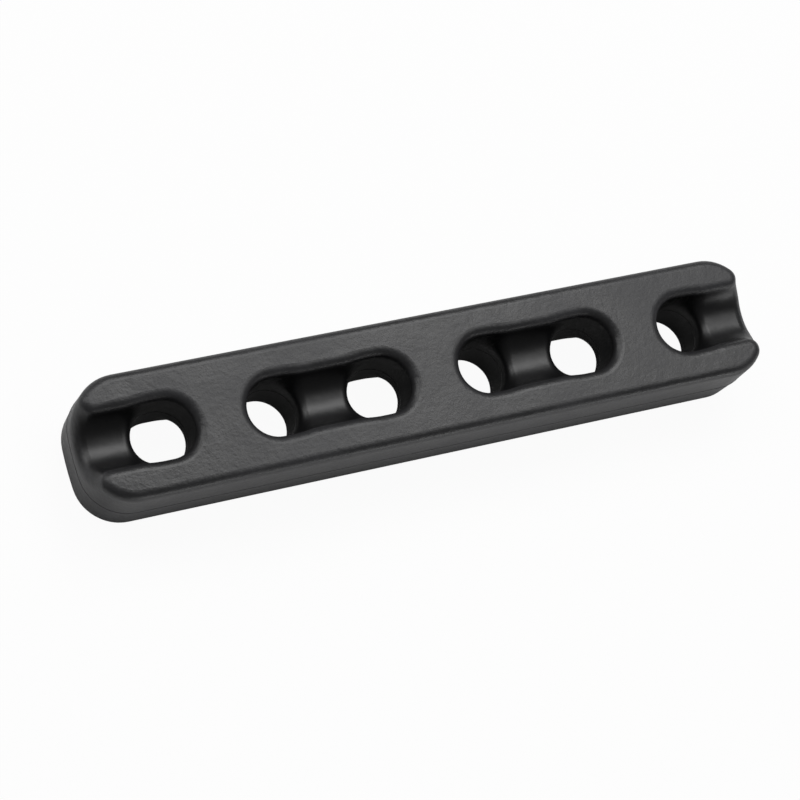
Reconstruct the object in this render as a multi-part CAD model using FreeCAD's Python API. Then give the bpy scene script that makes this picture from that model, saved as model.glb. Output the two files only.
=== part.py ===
import FreeCAD, Part
import math
import os

# Mooring line snubber: one moulded bar of black rubber, lying flat.
# The line weaves through six upright holes. From hole to hole it lies in round-bottomed
# channels that take turns on the upper and the lower face, and it leaves the bar by the
# channels that run out of both ends of the upper face.
# Millimetres. X runs along the bar and +Z is up. The origin is at the middle of the underside.

# Bar
LENGTH = 300.0           # between the crowns of the bowed ends, at the parting plane
WIDTH = 53.0             # at the parting plane
HEIGHT = 36.0
END_BOW = 150.0          # radius of the shallow curve of each end, seen from above
CORNER = 19.0            # radius of the four corners, seen from above
DRAFT = 1.5              # degrees that the sides lean in, up and down from the parting plane

# Line holes and channels
HOLES = 6
END_MARGIN = 35.0        # from the crown of an end to the axis of the nearest hole
BORE = 24.0              # diameter of a hole, and width of a channel
FLOOR_RISE = 7.0         # from the parting plane to the floor of a channel
SADDLE = 3.5             # rounding where a channel's floor turns down into a hole

# Rounded edges
ROUND = 4.0              # outer edge of both faces, and the mouths of the holes and channels
END_ROUND = 5.0          # where a channel runs out of an end of the bar

OVERRUN = 10.0           # how far the line's space is drawn past the faces of the bar

TOP, BOTTOM = 1, -1      # the face that a channel opens to
LEFT, RIGHT = -1, 1      # the side of a hole that a channel is on

parting_z = HEIGHT / 2
bore_radius = BORE / 2
elbow_radius = bore_radius + SADDLE
first_hole = END_MARGIN - LENGTH / 2
pitch = -2 * first_hole / (HOLES - 1)


def point(x, y, z=0.0):
    return FreeCAD.Vector(x, y, z)


def arc(start, middle, end):
    return Part.Arc(start, middle, end).toShape()


def line(start, end):
    return Part.LineSegment(start, end).toShape()


def outline(z, inset):
    """Outline of the bar at height z, drawn in by inset from the one at the parting plane."""
    corner = CORNER - inset
    bow = END_BOW - inset
    side_y = WIDTH / 2 - inset
    tip_x = LENGTH / 2 - inset
    # a corner's arc touches the long side, and touches the bowed end from inside
    corner_y = side_y - corner
    bow_x = tip_x - bow
    corner_x = bow_x + math.sqrt((bow - corner) ** 2 - corner_y ** 2)
    turn = math.asin(corner_y / (bow - corner))
    halfway = (turn + math.pi / 2) / 2
    touch_x = bow_x + bow * math.cos(turn)
    touch_y = bow * math.sin(turn)
    crown_x = corner_x + corner * math.cos(halfway)
    crown_y = corner_y + corner * math.sin(halfway)
    edges = []
    for end in (RIGHT, LEFT):
        # half of the way round: a bowed end, a corner, a long side and the next corner
        bow_start = point(end * touch_x, -end * touch_y, z)
        bow_end = point(end * touch_x, end * touch_y, z)
        side_start = point(end * corner_x, end * side_y, z)
        side_end = point(-end * corner_x, end * side_y, z)
        next_bow = point(-end * touch_x, end * touch_y, z)
        edges.append(arc(bow_start, point(end * tip_x, 0, z), bow_end))
        edges.append(arc(bow_end, point(end * crown_x, end * crown_y, z), side_start))
        edges.append(line(side_start, side_end))
        edges.append(arc(side_end, point(-end * crown_x, end * crown_y, z), next_bow))
    return Part.Wire(edges)


def blank():
    """The bar before its edges are rounded: two drafted halves that meet at the parting plane."""
    lean = parting_z * math.tan(math.radians(DRAFT))
    widest = outline(parting_z, 0.0)
    lower = Part.makeLoft([outline(0.0, lean), widest], True, True)
    upper = Part.makeLoft([widest, outline(HEIGHT, lean)], True, True)
    return lower.fuse(upper)


def floor_height(face):
    """Height of the lowest line of a channel that opens to the given face."""
    return parting_z + face * FLOOR_RISE


def mouth_height(face):
    """Height, outside the bar, to which the space over a channel is drawn."""
    return HEIGHT + OVERRUN if face == TOP else -OVERRUN


def trough(start_x, end_x, face):
    """Straight stretch of a channel, with a half round floor and upright walls."""
    floor_z = floor_height(face)
    axis_z = floor_z + face * bore_radius
    mouth_z = mouth_height(face)
    left, right = point(start_x, -bore_radius, axis_z), point(start_x, bore_radius, axis_z)
    left_out, right_out = point(start_x, -bore_radius, mouth_z), point(start_x, bore_radius, mouth_z)
    section = Part.Wire([arc(left, point(start_x, 0, floor_z), right),
                         line(right, right_out),
                         line(right_out, left_out),
                         line(left_out, left)])
    return Part.Face(section).extrude(point(end_x - start_x, 0, 0))


def elbow(hole_x, side, face):
    """Turn from a hole into the channel beside it: the floor rolls over a saddle into the hole."""
    centre_x = hole_x + side * elbow_radius
    centre_z = floor_height(face) - face * SADDLE
    mouth_z = mouth_height(face)
    # inner half of a quarter ring
    axis_z = floor_height(face) + face * bore_radius
    left, right = point(centre_x, -bore_radius, axis_z), point(centre_x, bore_radius, axis_z)
    half_disc = Part.Wire([arc(left, point(centre_x, 0, floor_height(face)), right), line(right, left)])
    ring = Part.Face(half_disc).revolve(point(centre_x, 0, centre_z), point(0, 1, 0), -90 * side * face)
    # the space between upright walls above it
    low_corner = point(min(hole_x, centre_x), -bore_radius, min(centre_z, mouth_z))
    walls = Part.makeBox(elbow_radius, BORE, abs(mouth_z - centre_z), low_corner)
    drum = Part.makeCylinder(elbow_radius, BORE, point(centre_x, -bore_radius, centre_z), point(0, 1, 0))
    return [ring, walls.cut(drum)]


def line_space():
    """All the space that the line needs: the holes, the channels and the turns between them."""
    holes = [first_hole + count * pitch for count in range(HOLES)]
    past_end = LENGTH / 2 + OVERRUN
    pieces = [Part.makeCylinder(bore_radius, HEIGHT + 2 * OVERRUN, point(x, 0, -OVERRUN)) for x in holes]
    for count, hole_x in enumerate(holes):
        # the line comes into each hole on one face and goes on from it on the other
        before, after = (TOP, BOTTOM) if count % 2 == 0 else (BOTTOM, TOP)
        pieces += elbow(hole_x, LEFT, before)
        pieces += elbow(hole_x, RIGHT, after)
        is_last = count == HOLES - 1
        next_turn = past_end if is_last else hole_x + pitch - elbow_radius
        pieces.append(trough(hole_x + elbow_radius, next_turn, after))
    pieces.append(trough(-past_end, first_hole - elbow_radius, TOP))
    return pieces[0].fuse(pieces[1:]).removeSplitter()


def on_a_face(edge):
    """Whether an edge lies in the plane of the lower or the upper face."""
    box = edge.BoundBox
    return any(abs(box.ZMin - z) < 1e-5 and abs(box.ZMax - z) < 1e-5 for z in (0.0, HEIGHT))


def is_sharp(shape, edge):
    """Whether the two faces that meet at an edge turn a corner there."""
    middle = edge.valueAt((edge.FirstParameter + edge.LastParameter) / 2)
    normals = []
    for face in shape.ancestorsOfType(edge, Part.Face):
        u, v = face.Surface.parameter(middle)
        normals.append(face.normalAt(u, v))
    return len(normals) == 2 and math.degrees(normals[0].getAngle(normals[1])) > 10


def is_way_out(edge):
    """Whether an edge is where a channel runs out of an end of the bar."""
    box = edge.BoundBox
    in_channel = max(box.YMax, -box.YMin) < bore_radius + 0.001
    # a bowed end falls back less than this across the width of a channel
    at_an_end = min(abs(box.XMin), abs(box.XMax)) > LENGTH / 2 - bore_radius / 2
    return in_channel and at_an_end and not on_a_face(edge)


def snubber_body():
    """The moulding: the bar with the line's space taken out and every edge rounded."""
    body = blank().cut(line_space())
    body = body.makeFillet(END_ROUND, [edge for edge in body.Edges if is_way_out(edge) and is_sharp(body, edge)])
    return body.makeFillet(ROUND, [edge for edge in body.Edges if on_a_face(edge) and is_sharp(body, edge)])


if __name__ == "__main__":
    os.makedirs("parts", exist_ok=True)
    shape = snubber_body()
    print("snubber_body", shape.isValid(), len(shape.Solids), "solid", round(shape.Volume), "mm3")
    shape.Solids[0].exportStep("parts/snubber_body.step")
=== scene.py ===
import math

import bpy
from bpy.props import FloatProperty, FloatVectorProperty, PointerProperty, StringProperty
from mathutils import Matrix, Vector


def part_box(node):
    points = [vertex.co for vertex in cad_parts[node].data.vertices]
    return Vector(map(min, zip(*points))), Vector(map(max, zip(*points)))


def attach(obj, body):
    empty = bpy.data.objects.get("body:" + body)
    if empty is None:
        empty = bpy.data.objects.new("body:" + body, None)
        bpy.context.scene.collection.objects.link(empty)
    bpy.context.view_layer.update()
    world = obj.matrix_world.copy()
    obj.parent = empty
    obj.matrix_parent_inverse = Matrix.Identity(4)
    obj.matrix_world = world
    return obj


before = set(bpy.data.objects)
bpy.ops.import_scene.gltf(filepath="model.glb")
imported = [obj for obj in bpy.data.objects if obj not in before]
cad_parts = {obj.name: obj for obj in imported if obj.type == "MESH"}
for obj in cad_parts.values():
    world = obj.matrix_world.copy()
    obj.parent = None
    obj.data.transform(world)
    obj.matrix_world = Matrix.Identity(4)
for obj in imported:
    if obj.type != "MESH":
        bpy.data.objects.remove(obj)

# A mooring line snubber: one moulded bar of black rubber with six line holes, joined by channels
# that take turns on its upper and lower face. The bar keeps its shape from the model. Here it gets
# its finish, the fine ridge that the mould leaves at the parting plane, and the studio.

bl_info = {
    "name": "Mooring Line Snubber",
    "version": (1, 0, 0),
    "blender": (4, 5, 0),
    "location": "3D View > Sidebar > Snubber",
    "description": "Gives a moulded rubber snubber its finish, its parting line and a studio",
    "category": "Object",
}

MM = 0.001
BAR = "snubber_body"
BODY = "root"
WHITE = "#FFFFFF"

# Real sizes on the rubber
BLOOM_PATCH = 30 * MM       # soft patches where the rubber's wax has bloomed
FLECK = 1.5 * MM            # where carbon black isn't spread quite evenly
SWELL = 8 * MM              # over which a moulded face is very slightly uneven
SWELL_DEPTH = 0.25 * MM
PATH_FADE = 1.5 * MM        # over which the finish of the holes and channels takes over

# Sizes for making the ridge
MERGE = 0.001 * MM          # corners of the bar's triangles that are nearer than this are one corner
ON_PLANE = 0.0001 * MM      # a corner this near to a cut lies on it

# Studio
PAPER_SIZE = 12.0
PAPER_DROP = 0.1 * MM       # keeps the paper clear of the bar's lower face
FILM_WIDTH = 36


# Helpers

def linear(hex_colour):
    """An sRGB hex colour as linear red, green, blue and alpha."""
    channels = [int(hex_colour[k:k + 2], 16) / 255 for k in (1, 3, 5)]
    return [c / 12.92 if c <= 0.04045 else ((c + 0.055) / 1.055) ** 2.4 for c in channels] + [1.0]


def add_node(tree, kind, settings=None, values=None, links=None):
    """Adds a node with its settings, and the values of its sockets or links into them.

    A socket goes by its name, or by its number where several have one name.
    """
    node = tree.nodes.new(kind)
    for name, value in (settings or {}).items():
        setattr(node, name, value)
    for socket, value in (values or {}).items():
        node.inputs[socket].default_value = value
    for socket, source in (links or {}).items():
        tree.links.new(source, node.inputs[socket])
    return node


def new_material(name):
    """An empty node material, with its tree."""
    material = bpy.data.materials.new(name)
    material.use_nodes = True
    material.node_tree.nodes.clear()
    return material, material.node_tree


def only(obj):
    """Selects one object and makes it the active one."""
    bpy.ops.object.select_all(action="DESELECT")
    obj.select_set(True)
    bpy.context.view_layer.objects.active = obj


def apply_modifiers(obj):
    """Turns what an object's modifiers show into its mesh."""
    only(obj)
    for modifier in list(obj.modifiers):
        bpy.ops.object.modifier_apply(modifier=modifier.name)


def inside_share(tree, middle, half, fade):
    """1 inside a box and 0 outside it, with a soft edge that lies inside the box."""
    place = add_node(tree, "ShaderNodeTexCoord").outputs["Object"]
    offset = add_node(tree, "ShaderNodeVectorMath", {"operation": "SUBTRACT"}, {1: middle}, {0: place})
    distance = add_node(tree, "ShaderNodeVectorMath", {"operation": "ABSOLUTE"},
                        links={0: offset.outputs[0]})
    past_wall = add_node(tree, "ShaderNodeVectorMath", {"operation": "SUBTRACT"}, {1: half},
                         {0: distance.outputs[0]})
    past = add_node(tree, "ShaderNodeSeparateXYZ", links={"Vector": past_wall.outputs[0]}).outputs
    sideways = add_node(tree, "ShaderNodeMath", {"operation": "MAXIMUM"},
                        links={0: past["X"], 1: past["Y"]})
    furthest = add_node(tree, "ShaderNodeMath", {"operation": "MAXIMUM"},
                        links={0: sideways.outputs[0], 1: past["Z"]})
    share = add_node(tree, "ShaderNodeMapRange", {"interpolation_type": "SMOOTHSTEP"},
                     {"From Min": -fade, "From Max": 0.0, "To Min": 1.0, "To Max": 0.0},
                     {"Value": furthest.outputs[0]})
    return share.outputs["Result"]


# Rubber

def pale_share(tree, place):
    """How much the rubber is paler: soft patches of bloomed wax, and faint flecks."""
    bloom = add_node(tree, "ShaderNodeTexNoise",
                     values={"Scale": 1 / BLOOM_PATCH, "Detail": 3.0, "Roughness": 0.55},
                     links={"Vector": place})
    bloom_share = add_node(tree, "ShaderNodeMapRange", {"interpolation_type": "SMOOTHSTEP"},
                           {"From Min": 0.35, "From Max": 0.7}, {"Value": bloom.outputs["Fac"]})
    fleck = add_node(tree, "ShaderNodeTexNoise", values={"Scale": 1 / FLECK, "Detail": 2.0},
                     links={"Vector": place})
    fleck_share = add_node(tree, "ShaderNodeMapRange",
                           values={"From Min": 0.3, "From Max": 0.7, "To Max": 0.35},
                           links={"Value": fleck.outputs["Fac"]})
    share = add_node(tree, "ShaderNodeMath", {"operation": "ADD", "use_clamp": True},
                     links={0: bloom_share.outputs["Result"], 1: fleck_share.outputs["Result"]})
    return share.outputs[0]


def moulded_normal(tree, place, path_share, settings):
    """The grain of the blasted tool, on a face that is very slightly uneven."""
    # the real grain is about 0.3 mm, and is drawn as coarse as its setting so that it shows
    grain = add_node(tree, "ShaderNodeTexNoise",
                     values={"Scale": 1 / settings.grain_size, "Detail": 2.0, "Roughness": 0.6},
                     links={"Vector": place})
    # the polished cores leave hardly any of it
    strength = add_node(tree, "ShaderNodeMapRange", values={"To Min": 0.6, "To Max": 0.1},
                        links={"Value": path_share})
    grain_bump = add_node(tree, "ShaderNodeBump", values={"Distance": settings.grain_depth},
                          links={"Height": grain.outputs["Fac"],
                                 "Strength": strength.outputs["Result"]})
    swell = add_node(tree, "ShaderNodeTexNoise", values={"Scale": 1 / SWELL, "Detail": 1.0},
                     links={"Vector": place})
    swell_bump = add_node(tree, "ShaderNodeBump", values={"Strength": 1.0, "Distance": SWELL_DEPTH},
                          links={"Height": swell.outputs["Fac"],
                                 "Normal": grain_bump.outputs["Normal"]})
    return swell_bump.outputs["Normal"]


def rubber_material(settings):
    """Black EPDM rubber, compression moulded in a blasted steel tool.

    The rubber itself is nearly black. What the eye sees on it is the broad soft sheen of the studio,
    a little paler where the rubber's wax has bloomed, over the fine even grain that the tool leaves.
    The cores that shape the holes and channels are polished and a line rubs there, so those walls
    are smoother. Their colour is a deeper black: painted shade, for the dark that falls in the holes
    and channels.
    """
    material, tree = new_material("black_epdm_rubber_moulded")
    place = add_node(tree, "ShaderNodeTexCoord").outputs["Object"]

    # the box that holds the walls of the holes and channels, but no outer face
    low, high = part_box(BAR)
    half = (high - low) / 2
    path_half = (half.x - settings.path_inset, settings.path_width / 2, half.z - settings.path_inset)
    path_share = inside_share(tree, (low + high) / 2, path_half, fade=PATH_FADE)

    pale = pale_share(tree, place)
    skin_colour = add_node(tree, "ShaderNodeMix", {"data_type": "RGBA"},
                           {"A": linear(settings.colour), "B": linear(settings.bloom_colour)},
                           {"Factor": pale})
    # painted shade: the holes and channels get a darker colour, for the shade that falls in them
    colour = add_node(tree, "ShaderNodeMix", {"data_type": "RGBA"},
                      {"B": linear(settings.path_shade_colour)},
                      {"A": skin_colour.outputs["Result"], "Factor": path_share})

    # a bloomed patch scatters the sheen more
    clean_roughness = settings.roughness - 0.04
    bloomed_roughness = settings.roughness + 0.05
    skin_roughness = add_node(tree, "ShaderNodeMapRange",
                              values={"To Min": clean_roughness, "To Max": bloomed_roughness},
                              links={"Value": pale})
    roughness = add_node(tree, "ShaderNodeMapRange", values={"To Max": settings.path_roughness},
                         links={"Value": path_share, "To Min": skin_roughness.outputs["Result"]})

    shader = add_node(tree, "ShaderNodeBsdfPrincipled", values={"IOR": 1.52, "Metallic": 0.0},
                      links={"Base Color": colour.outputs["Result"],
                             "Roughness": roughness.outputs["Result"],
                             "Normal": moulded_normal(tree, place, path_share, settings)})
    add_node(tree, "ShaderNodeOutputMaterial", links={"Surface": shader.outputs["BSDF"]})
    return material


# Studio

def plain_white_share(tree):
    """A node that gives how much of the plain white background a ray sees.

    The camera sees all of it, also through glass. A glossy ray sees the share that goes into the
    node's second input.
    """
    rays = add_node(tree, "ShaderNodeLightPath").outputs
    straight = add_node(tree, "ShaderNodeMath", {"operation": "MAXIMUM"},
                        links={0: rays["Is Camera Ray"], 1: rays["Is Transmission Ray"]})
    return add_node(tree, "ShaderNodeMath", {"operation": "MULTIPLY_ADD", "use_clamp": True},
                    links={0: rays["Is Glossy Ray"], 2: straight.outputs[0]})


def white_sweep_material(settings):
    """Matt white paper. The camera sees it nearly white, with a faint shadow of the bar.

    A sheen on the bar shows a share of that white too, but hardly any from the paper under the bar
    and close around its foot: a painted shadow, laid as a box round the bar, where the bar keeps the
    light off.
    """
    material, tree = new_material("white_paper_matt")
    low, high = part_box(BAR)
    # the painted shadow's box reaches down as well, so that the paper lies well inside it
    reach = Vector((1, 1, 1)) * settings.foot_shadow
    covered = inside_share(tree, (low + high) / 2, (high - low) / 2 + reach,
                           fade=settings.foot_shadow)
    # painted shadow: a sheen shows less of the paper's white inside the box round the bar's foot
    sheen_share = add_node(tree, "ShaderNodeMapRange",
                           values={"To Min": settings.sheen_paper, "To Max": settings.sheen_covered},
                           links={"Value": covered})
    share = plain_white_share(tree)
    tree.links.new(sheen_share.outputs["Result"], share.inputs[1])
    seen = add_node(tree, "ShaderNodeMath", {"operation": "MULTIPLY"},
                    {1: settings.floor_white}, {0: share.outputs[0]})
    paper = add_node(tree, "ShaderNodeBsdfDiffuse", values={"Color": linear(settings.floor_colour)})
    white = add_node(tree, "ShaderNodeEmission")
    mix = add_node(tree, "ShaderNodeMixShader",
                   links={0: seen.outputs[0], 1: paper.outputs["BSDF"], 2: white.outputs["Emission"]})
    add_node(tree, "ShaderNodeOutputMaterial", links={"Surface": mix.outputs["Shader"]})
    return material


def plain_surroundings(settings):
    """A world that fills faintly from all round, and that the camera sees as white."""
    world = bpy.data.worlds.new("plain_surroundings")
    world.use_nodes = True
    tree = world.node_tree
    tree.nodes.clear()
    fill = add_node(tree, "ShaderNodeBackground",
                    values={"Color": linear(WHITE), "Strength": settings.fill})
    # as light as the far end of the paper, so that no horizon shows
    white = add_node(tree, "ShaderNodeBackground",
                     values={"Color": linear(WHITE), "Strength": settings.floor_white})
    share = plain_white_share(tree)
    share.inputs[1].default_value = settings.sheen_sky
    mix = add_node(tree, "ShaderNodeMixShader",
                   links={0: share.outputs[0], 1: fill.outputs["Background"],
                          2: white.outputs["Background"]})
    add_node(tree, "ShaderNodeOutputWorld", links={"Surface": mix.outputs["Shader"]})
    return world


def softbox(scene, name, radiance, size, place):
    """A rectangular lamp that faces the bar."""
    lamp = bpy.data.lights.new(name, "AREA")
    lamp.shape = "RECTANGLE"
    lamp.size, lamp.size_y = size
    lamp.energy = radiance * math.pi * lamp.size * lamp.size_y
    box = bpy.data.objects.new(name, lamp)
    box.location = place
    box.rotation_euler = Vector(place).to_track_quat("Z", "Y").to_euler()
    scene.collection.objects.link(box)


def photo_camera(scene, settings):
    """The camera, at the photograph's viewing angle."""
    lens = bpy.data.cameras.new("photo_camera")
    lens.lens = settings.lens
    lens.sensor_width = FILM_WIDTH
    camera = bpy.data.objects.new("photo_camera", lens)
    camera.location = settings.camera_place
    camera.rotation_euler = settings.camera_turn
    scene.collection.objects.link(camera)
    return camera


# Settings

class SnubberRubberSettings(bpy.types.PropertyGroup):
    colour: StringProperty(
        name="Rubber", description="sRGB hex colour of the rubber", default="#212122")
    bloom_colour: StringProperty(
        name="Bloom", description="sRGB hex colour where wax has bloomed", default="#2B2B2D")
    roughness: FloatProperty(
        name="Roughness", description="Roughness of the moulded face",
        default=0.42, min=0.1, max=0.95, subtype="FACTOR")
    # painted shade: the darker colour of the holes and channels stands in for the shade in them
    path_shade_colour: StringProperty(
        name="Path", description="sRGB hex colour in the holes and channels", default="#0E0E0F")
    path_roughness: FloatProperty(
        name="Path roughness", description="Roughness in the holes and channels",
        default=0.4, min=0.1, max=0.95, subtype="FACTOR")
    path_width: FloatProperty(
        name="Path width", description="Width in which the holes and channels lie",
        default=27.0 * MM, min=0.0, subtype="DISTANCE", unit="LENGTH", precision=5)
    path_inset: FloatProperty(
        name="Path inset", description="How far the path's finish stays from the outer faces",
        default=2.5 * MM, min=0.0, subtype="DISTANCE", unit="LENGTH", precision=5)
    grain_size: FloatProperty(
        name="Grain size", description="Size of the grain that the tool leaves",
        default=1.8 * MM, min=0.1 * MM, subtype="DISTANCE", unit="LENGTH", precision=5)
    grain_depth: FloatProperty(
        name="Grain depth", description="Depth of the grain",
        default=0.24 * MM, min=0.0, subtype="DISTANCE", unit="LENGTH", precision=5)


class SnubberPartingSettings(bpy.types.PropertyGroup):
    width: FloatProperty(
        name="Width", description="Width of the ridge at the parting plane",
        default=0.5 * MM, min=0.1 * MM, subtype="DISTANCE", unit="LENGTH", precision=5)
    height: FloatProperty(
        name="Height", description="How far the ridge stands out of the bar",
        default=0.12 * MM, min=0.05 * MM, subtype="DISTANCE", unit="LENGTH", precision=5)


class SnubberStudioSettings(bpy.types.PropertyGroup):
    floor_colour: StringProperty(
        name="Paper", description="sRGB hex colour of the paper", default="#F2F2F2")
    floor_white: FloatProperty(
        name="Paper glow", description="Share of plain white in what the camera sees",
        default=0.95, min=0.0, max=1.0, subtype="FACTOR")
    key: FloatProperty(
        name="Key", description="Radiance of the softbox above, behind and right",
        default=5.1, min=0.0)
    overhead: FloatProperty(
        name="Overhead", description="Radiance of the softbox above, behind and left",
        default=2.1, min=0.0)
    left: FloatProperty(
        name="Left", description="Radiance of the lower softbox at the back on the left",
        default=2.2, min=0.0)
    right: FloatProperty(
        name="Right", description="Radiance of the softbox above on the right",
        default=2.0, min=0.0)
    front_card: FloatProperty(
        name="Front card", description="Radiance of the low card in front",
        default=5.5, min=0.0)
    fill: FloatProperty(
        name="Fill", description="Strength of the light from all round", default=0.05, min=0.0)
    sheen_paper: FloatProperty(
        name="Paper in a sheen", description="Share of plain white that a sheen shows of the paper",
        default=0.42, min=0.0, max=1.0, subtype="FACTOR")
    # painted shadow under the bar, in what a sheen shows of the paper
    sheen_covered: FloatProperty(
        name="Covered paper in a sheen",
        description="Share of plain white that a sheen shows of the paper under the bar",
        default=0.04, min=0.0, max=1.0, subtype="FACTOR")
    # painted shadow round the bar's foot, in what a sheen shows of the paper
    foot_shadow: FloatProperty(
        name="Foot shadow", description="How far the dark under the bar reaches out from it",
        default=16.0 * MM, min=0.1 * MM, subtype="DISTANCE", unit="LENGTH", precision=5)
    sheen_sky: FloatProperty(
        name="Surroundings in a sheen",
        description="Share of plain white that a sheen shows of the surroundings",
        default=0.06, min=0.0, max=1.0, subtype="FACTOR")
    camera_place: FloatVectorProperty(
        name="Camera", description="Place of the camera", size=3,
        default=(-0.38801, -0.23637, 0.94963), subtype="TRANSLATION", unit="LENGTH")
    camera_turn: FloatVectorProperty(
        name="Camera turn", description="Rotation of the camera", size=3,
        default=[math.radians(angle) for angle in (18.871, -17.33, -17.173)],
        subtype="EULER", unit="ROTATION")
    lens: FloatProperty(
        name="Lens", description="Focal length on a 36 mm frame",
        default=113.893, min=10.0, subtype="DISTANCE_CAMERA")


# Operators

class SNUBBER_OT_finish_bar(bpy.types.Operator):
    """Give the rubber bar its finish"""
    bl_idname = "snubber.finish_bar"
    bl_label = "Finish bar"
    bl_options = {"REGISTER", "UNDO"}

    def execute(self, context):
        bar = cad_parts[BAR]
        bar.material_slots[0].material = rubber_material(context.scene.snubber_rubber)
        return {"FINISHED"}


class SNUBBER_OT_add_parting_line(bpy.types.Operator):
    """Add the fine ridge that the mould leaves at the parting plane, round the bar and in every hole"""
    bl_idname = "snubber.add_parting_line"
    bl_label = "Add parting line"
    bl_options = {"REGISTER", "UNDO"}

    def execute(self, context):
        settings = context.scene.snubber_parting
        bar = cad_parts[BAR]
        low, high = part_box(BAR)
        parting_z = (low.z + high.z) / 2
        ridge = bpy.data.objects.new("parting_line", bar.data.copy())
        context.scene.collection.objects.link(ridge)
        only(ridge)
        # the bar's own walls, cut down to a band at the parting plane
        bpy.ops.object.mode_set(mode="EDIT")
        bpy.ops.mesh.select_all(action="SELECT")
        bpy.ops.mesh.customdata_custom_splitnormals_clear()
        bpy.ops.mesh.remove_doubles(threshold=MERGE)
        for side in (1, -1):
            edge_z = parting_z + side * settings.width / 2
            bpy.ops.mesh.select_all(action="SELECT")
            bpy.ops.mesh.bisect(plane_co=(0, 0, edge_z), plane_no=(0, 0, side), clear_outer=True,
                                threshold=ON_PLANE)
        bpy.ops.object.mode_set(mode="OBJECT")
        # the band gets a wall, sunk a little into the bar, and rounded edges
        wall = ridge.modifiers.new("wall", "SOLIDIFY")
        wall.thickness = 2 * settings.height
        wall.offset = 0.0
        soft = ridge.modifiers.new("soft", "BEVEL")
        soft.width = 0.9 * settings.height
        soft.segments = 3
        soft.limit_method = "ANGLE"
        soft.angle_limit = math.radians(50)
        apply_modifiers(ridge)
        bpy.ops.object.shade_smooth_by_angle(angle=math.radians(40))
        ridge.data.materials.clear()
        ridge.data.materials.append(bar.material_slots[0].material)
        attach(ridge, BODY)
        return {"FINISHED"}


class SNUBBER_OT_set_studio(bpy.types.Operator):
    """Add the paper floor, the lamps, the surroundings and the camera"""
    bl_idname = "snubber.set_studio"
    bl_label = "Set studio"
    bl_options = {"REGISTER", "UNDO"}

    def execute(self, context):
        settings = context.scene.snubber_studio
        scene = context.scene

        bpy.ops.mesh.primitive_plane_add(size=PAPER_SIZE, location=(0, 0, -PAPER_DROP))
        floor = context.object
        floor.name = "paper_floor"
        floor.data.materials.append(white_sweep_material(settings))

        softbox(scene, "key_softbox", settings.key, size=(1.1, 1.1), place=(0.6, 1.0, 1.73))
        softbox(scene, "overhead_softbox", settings.overhead, size=(1.1, 1.1), place=(-0.6, 1.0, 1.73))
        softbox(scene, "left_softbox", settings.left, size=(1.0, 1.0), place=(-1.16, 1.16, 1.15))
        softbox(scene, "right_softbox", settings.right, size=(1.0, 1.0), place=(1.0, 0.0, 1.73))
        # it stands on the paper, and lightens the rolled near edge of the bar
        softbox(scene, "front_card", settings.front_card, size=(2.0, 0.24), place=(0.75, -1.8, 0.12))

        scene.world = plain_surroundings(settings)
        scene.camera = photo_camera(scene, settings)
        scene.view_settings.view_transform = "Standard"
        return {"FINISHED"}


# Panel

class SNUBBER_PT_panel(bpy.types.Panel):
    """Lists the settings of each operator, with its button"""
    bl_idname = "SNUBBER_PT_panel"
    bl_label = "Mooring line snubber"
    bl_space_type = "VIEW_3D"
    bl_region_type = "UI"
    bl_category = "Snubber"

    def draw(self, context):
        for heading, settings, operator in (
                ("Rubber", context.scene.snubber_rubber, SNUBBER_OT_finish_bar),
                ("Parting line", context.scene.snubber_parting, SNUBBER_OT_add_parting_line),
                ("Studio", context.scene.snubber_studio, SNUBBER_OT_set_studio)):
            box = self.layout.box()
            box.label(text=heading)
            for name in settings.__annotations__:
                box.prop(settings, name)
            box.operator(operator.bl_idname)


CLASSES = (
    SnubberRubberSettings,
    SnubberPartingSettings,
    SnubberStudioSettings,
    SNUBBER_OT_finish_bar,
    SNUBBER_OT_add_parting_line,
    SNUBBER_OT_set_studio,
    SNUBBER_PT_panel,
)


def register():
    for cls in CLASSES:
        bpy.utils.register_class(cls)
    bpy.types.Scene.snubber_rubber = PointerProperty(type=SnubberRubberSettings)
    bpy.types.Scene.snubber_parting = PointerProperty(type=SnubberPartingSettings)
    bpy.types.Scene.snubber_studio = PointerProperty(type=SnubberStudioSettings)


def unregister():
    del bpy.types.Scene.snubber_studio
    del bpy.types.Scene.snubber_parting
    del bpy.types.Scene.snubber_rubber
    for cls in reversed(CLASSES):
        bpy.utils.unregister_class(cls)


def main():
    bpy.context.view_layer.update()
    bpy.ops.object.select_all(action="DESELECT")
    register()
    bpy.ops.snubber.finish_bar()
    bpy.ops.snubber.add_parting_line()
    bpy.ops.snubber.set_studio()


if __name__ == "__main__":
    main()
